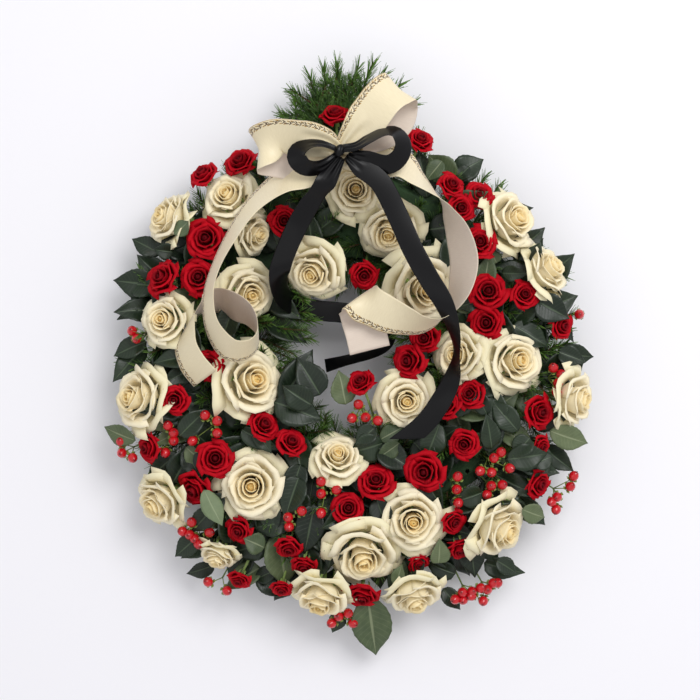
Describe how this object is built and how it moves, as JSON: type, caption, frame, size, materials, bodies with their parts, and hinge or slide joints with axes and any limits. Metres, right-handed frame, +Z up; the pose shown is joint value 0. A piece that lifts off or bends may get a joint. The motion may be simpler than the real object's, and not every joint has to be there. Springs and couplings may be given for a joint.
{
  "type": "funeral wreath",
  "caption": "Flat-lying funeral wreath of cut roses, spray roses, berries, leaves and fir stuck in a foam ring, with a cream and black satin bow.",
  "frame": {"origin": "middle of the wreath's box, on the surface that the tray rests on", "axes": "+Z up out of the wreath's face, +Y from the ring's middle towards the bow, +X to the right seen from above"},
  "size_m": [0.6156, 0.7364, 0.2025],
  "materials": {
    "tray": "moulded thin plastic",
    "foam": "fine open grain, soaked",
    "white_petals": "soft velvety petal",
    "red_petals": "soft velvety petal",
    "berries": "smooth waxy skin",
    "leaves": "waxy leaf with paler underside",
    "fir": "waxy needles on rough bark",
    "pick": "raw turned stick",
    "cream_satin": "satin with a gold scroll border",
    "black_satin": "bright satin"
  },
  "bodies": {
    "root": {"tray_ring": "tray", "foam_ring": "foam", "white_rose_01": "white_petals", "white_rose_02": "white_petals", "white_rose_03": "white_petals", "white_rose_04": "white_petals", "white_rose_05": "white_petals", "white_rose_06": "white_petals", "white_rose_07": "white_petals", "white_rose_08": "white_petals", "white_rose_09": "white_petals", "white_rose_10": "white_petals", "white_rose_11": "white_petals", "white_rose_12": "white_petals", "white_rose_13": "white_petals", "white_rose_14": "white_petals", "white_rose_15": "white_petals", "white_rose_16": "white_petals", "white_rose_17": "white_petals", "white_rose_18": "white_petals", "white_rose_19": "white_petals", "white_rose_20": "white_petals", "white_rose_21": "white_petals", "white_rose_22": "white_petals", "white_rose_23": "white_petals", "white_rose_24": "white_petals", "white_rose_25": "white_petals", "white_rose_26": "white_petals", "red_spray_01": "red_petals", "red_spray_02": "red_petals", "red_spray_03": "red_petals", "red_spray_04": "red_petals", "red_spray_05": "red_petals", "red_spray_06": "red_petals", "red_spray_07": "red_petals", "red_spray_08": "red_petals", "red_spray_09": "red_petals", "hypericum_01": "berries", "hypericum_02": "berries", "hypericum_03": "berries", "hypericum_04": "berries", "leafy_stem_01": "leaves", "leafy_stem_02": "leaves", "leafy_stem_03": "leaves", "leafy_stem_04": "leaves", "leafy_stem_05": "leaves", "fir_twig_01": "fir", "fir_twig_02": "fir", "fir_twig_03": "fir", "fir_twig_04": "fir", "fir_twig_05": "fir", "fir_twig_06": "fir", "bow_pick": "pick", "cream_bow": "cream_satin", "cream_tail_left": "cream_satin", "cream_tail_right": "cream_satin", "black_bow": "black_satin", "black_tail_left": "black_satin", "black_tail_right": "black_satin"}
  },
  "joints": []
}
